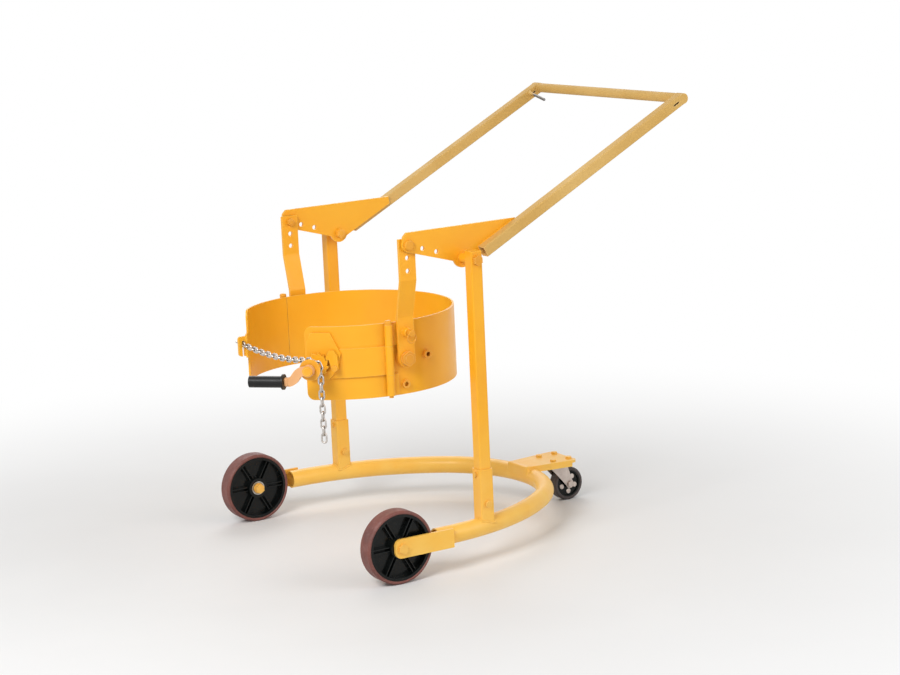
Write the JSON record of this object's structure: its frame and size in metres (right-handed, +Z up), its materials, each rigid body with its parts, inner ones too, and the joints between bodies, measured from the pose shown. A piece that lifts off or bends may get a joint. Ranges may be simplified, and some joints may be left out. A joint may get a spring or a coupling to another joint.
{
  "type": "drum dumper",
  "caption": "Wheeled drum dumper: U-shaped tube base, lifting lever on uprights, and a tilting band saddle with hinged jaws, ratchet and chain to clamp a drum.",
  "frame": {"origin": "on the floor, under the drum's axis", "axes": "+X forward to the open mouth of the saddle, +Y to the ratchet side, +Z up"},
  "size_m": [1.3204, 0.9098, 1.2169],
  "materials": {
    "yellow_paint": "golden yellow gloss paint over welded steel",
    "painted_fasteners": "bolts and pins painted over with the frame",
    "bare_steel": "bare turned steel",
    "chain_steel": "bright plated chain",
    "zinc_plate": "zinc plated pressed steel",
    "wheel_plastic": "black moulded plastic",
    "tread_rubber": "red-brown bonded tread",
    "caster_rubber": "dark grey bonded tread",
    "grip_rubber": "black dipped grip"
  },
  "bodies": {
    "frame": {"base_tube": "yellow_paint", "left_axle_plate": "yellow_paint", "right_axle_plate": "yellow_paint", "axle_bolts": "painted_fasteners", "left_socket": "yellow_paint", "right_socket": "yellow_paint", "left_upright": "yellow_paint", "right_upright": "yellow_paint", "socket_bolts": "painted_fasteners", "pivot_bolts": "painted_fasteners", "pivot_spacers": "painted_fasteners", "tongue_plate": "yellow_paint", "caster_mount": "zinc_plate", "caster_bolts": "painted_fasteners", "king_pin": "zinc_plate"},
    "lever": {"left_handle_bar": "yellow_paint", "right_handle_bar": "yellow_paint", "crossbar": "yellow_paint", "hook_pin": "bare_steel", "left_lever_plate": "yellow_paint", "right_lever_plate": "yellow_paint", "hanger_bolts": "painted_fasteners"},
    "hanger": {"left_link": "yellow_paint", "right_link": "yellow_paint", "lock_housing": "yellow_paint"},
    "lock_pin": {"lock_plunger": "bare_steel", "pull_ring": "bare_steel"},
    "saddle": {"saddle_band": "yellow_paint", "trunnion_bosses": "yellow_paint", "trunnion_pins": "painted_fasteners", "index_bushes": "painted_fasteners", "band_knuckles": "yellow_paint", "hinge_pins": "painted_fasteners"},
    "near_jaw": {"left_jaw": "yellow_paint", "left_hinge_strap": "yellow_paint", "ratchet_pad": "yellow_paint", "ratchet_shaft": "painted_fasteners", "ratchet_wheel": "yellow_paint", "chain_wheel": "bare_steel", "pawl_pin": "painted_fasteners", "chain_tail": "chain_steel"},
    "far_jaw": {"right_jaw": "yellow_paint", "right_hinge_strap": "yellow_paint", "chain_claw": "yellow_paint"},
    "ratchet_lever": {"hand_lever": "yellow_paint", "grip": "grip_rubber"},
    "ratchet_pawl": {"pawl": "yellow_paint"},
    "hanging_chain": {"chain_run": "chain_steel"},
    "left_wheel": {"left_wheel_core": "wheel_plastic", "left_wheel_tread": "tread_rubber", "left_wheel_bearings": "bare_steel"},
    "right_wheel": {"right_wheel_core": "wheel_plastic", "right_wheel_tread": "tread_rubber", "right_wheel_bearings": "bare_steel"},
    "caster_swivel_fork": {"caster_fork": "zinc_plate", "caster_axle": "zinc_plate"},
    "caster_wheel": {"caster_core": "wheel_plastic", "caster_rivets": "zinc_plate", "caster_tread": "caster_rubber"}
  },
  "joints": [
    {"name": "lever_lift", "type": "hinge", "parent": "frame", "child": "lever", "pos_m": [-0.166, 0, 0.834], "axis": [0, 1, 0], "range_deg": [-15, 40]},
    {"name": "hanger_swing", "type": "hinge", "parent": "lever", "child": "hanger", "pos_m": [0, 0, 0.886], "axis": [0, 1, 0], "range_deg": [-40, 15]},
    {"name": "saddle_tilt", "type": "hinge", "parent": "hanger", "child": "saddle", "pos_m": [0, 0, 0.576], "axis": [0, 1, 0], "range_deg": [0, 180]},
    {"name": "tilt_lock", "type": "slide", "parent": "hanger", "child": "lock_pin", "axis": [0, -1, 0], "range_m": [0, 0.008]},
    {"name": "left_jaw_open", "type": "hinge", "parent": "saddle", "child": "near_jaw", "pos_m": [0.04929, 0.30099, 0.576], "axis": [0, 0, -1], "range_deg": [-35, 0]},
    {"name": "right_jaw_open", "type": "hinge", "parent": "saddle", "child": "far_jaw", "pos_m": [0.04929, -0.30099, 0.576], "axis": [0, 0, -1], "range_deg": [0, 35]},
    {"name": "chain_drop", "type": "hinge", "parent": "near_jaw", "child": "hanging_chain", "pos_m": [0.26105, 0.21089, 0.59324], "axis": [1, 0, 0], "range_deg": [0, 90]},
    {"name": "hand_lever_swing", "type": "hinge", "parent": "near_jaw", "child": "ratchet_lever", "pos_m": [0.27982, 0.27022, 0.576], "axis": [0.7193, 0.6947, 0], "range_deg": [-40, 40]},
    {"name": "pawl_lift", "type": "hinge", "parent": "near_jaw", "child": "ratchet_pawl", "pos_m": [0.19402, 0.25687, 0.568], "axis": [-0.7193, -0.6947, 0], "range_deg": [0, 25]},
    {"name": "left_wheel_spin", "type": "hinge", "parent": "frame", "child": "left_wheel", "pos_m": [0.122, 0.415, 0.1], "axis": [0, 1, 0], "continuous": true},
    {"name": "right_wheel_spin", "type": "hinge", "parent": "frame", "child": "right_wheel", "pos_m": [0.122, -0.415, 0.1], "axis": [0, 1, 0], "continuous": true},
    {"name": "caster_swivel", "type": "hinge", "parent": "frame", "child": "caster_swivel_fork", "pos_m": [-0.66792, 0, 0.1], "axis": [0, 0, 1], "continuous": true},
    {"name": "caster_spin", "type": "hinge", "parent": "caster_swivel_fork", "child": "caster_wheel", "pos_m": [-0.70892, 0, 0.05], "axis": [0, 1, 0], "continuous": true}
  ],
  "couplings": [
    {"joint": "hanger_swing", "follows": "lever_lift", "ratio": -1},
    {"joint": "right_jaw_open", "follows": "left_jaw_open", "ratio": -1},
    {"joint": "chain_drop", "follows": "left_jaw_open", "ratio": -2.5714}
  ]
}
